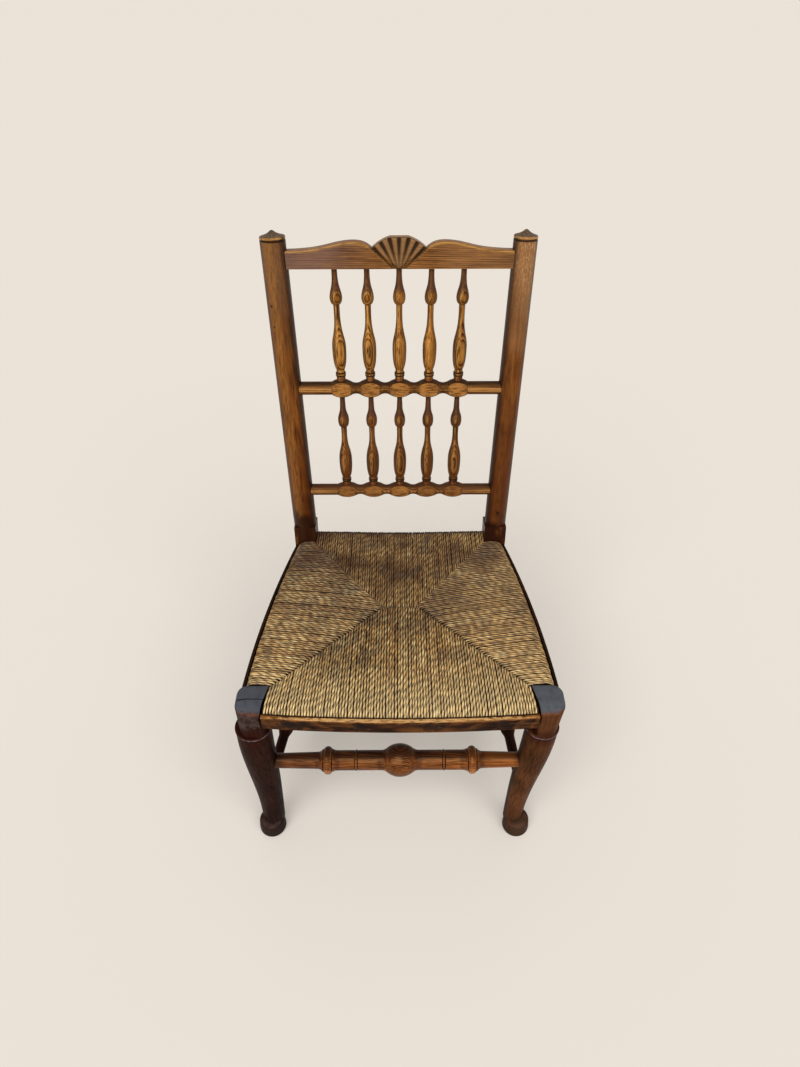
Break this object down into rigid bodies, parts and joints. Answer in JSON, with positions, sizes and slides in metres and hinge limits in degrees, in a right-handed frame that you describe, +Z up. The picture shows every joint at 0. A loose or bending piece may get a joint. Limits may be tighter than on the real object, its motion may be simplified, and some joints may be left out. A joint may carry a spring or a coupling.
{
  "type": "spindle back chair",
  "caption": "Low spindle back chair with turned spindles between shaped rails, a shell carved on the crest, club front legs, turned stretchers and a rush seat.",
  "frame": {"origin": "on the floor, under the middle of the chair's outer box", "axes": "+Z up, +X to the right seen from the front, -Y towards the front of the seat"},
  "size_m": [0.5056, 0.5134, 0.9139],
  "materials": {
    "post_wood": "old waxed polish, worn on the edges",
    "leg_wood": "old waxed polish, worn on the edges",
    "crest_wood": "old waxed polish, worn on the edges",
    "spindle_wood": "old waxed polish, worn on the edges",
    "stretcher_wood": "old waxed polish, worn on the edges",
    "rail_wood": "old waxed polish, worn on the edges",
    "strip_wood": "old waxed polish, worn on the edges",
    "rush": "twisted dry rush cord, matt",
    "nail_iron": "dull wrought iron"
  },
  "bodies": {
    "root": {"back_post_left": "post_wood", "back_post_right": "post_wood", "front_leg_left": "leg_wood", "front_leg_right": "leg_wood", "crest_rail": "crest_wood", "upper_cross_rail": "spindle_wood", "lower_cross_rail": "spindle_wood", "upper_spindle_1": "spindle_wood", "upper_spindle_2": "spindle_wood", "upper_spindle_3": "spindle_wood", "upper_spindle_4": "spindle_wood", "upper_spindle_5": "spindle_wood", "lower_spindle_1": "spindle_wood", "lower_spindle_2": "spindle_wood", "lower_spindle_3": "spindle_wood", "lower_spindle_4": "spindle_wood", "lower_spindle_5": "spindle_wood", "front_stretcher": "stretcher_wood", "side_stretcher_left": "stretcher_wood", "side_stretcher_right": "stretcher_wood", "back_stretcher": "stretcher_wood", "seat_rail_front": "rail_wood", "seat_rail_back": "rail_wood", "seat_rail_left": "rail_wood", "seat_rail_right": "rail_wood", "edge_strip_front": "strip_wood", "edge_strip_left": "strip_wood", "edge_strip_right": "strip_wood", "rush_seat": "rush", "strip_nails": "nail_iron"}
  },
  "joints": []
}
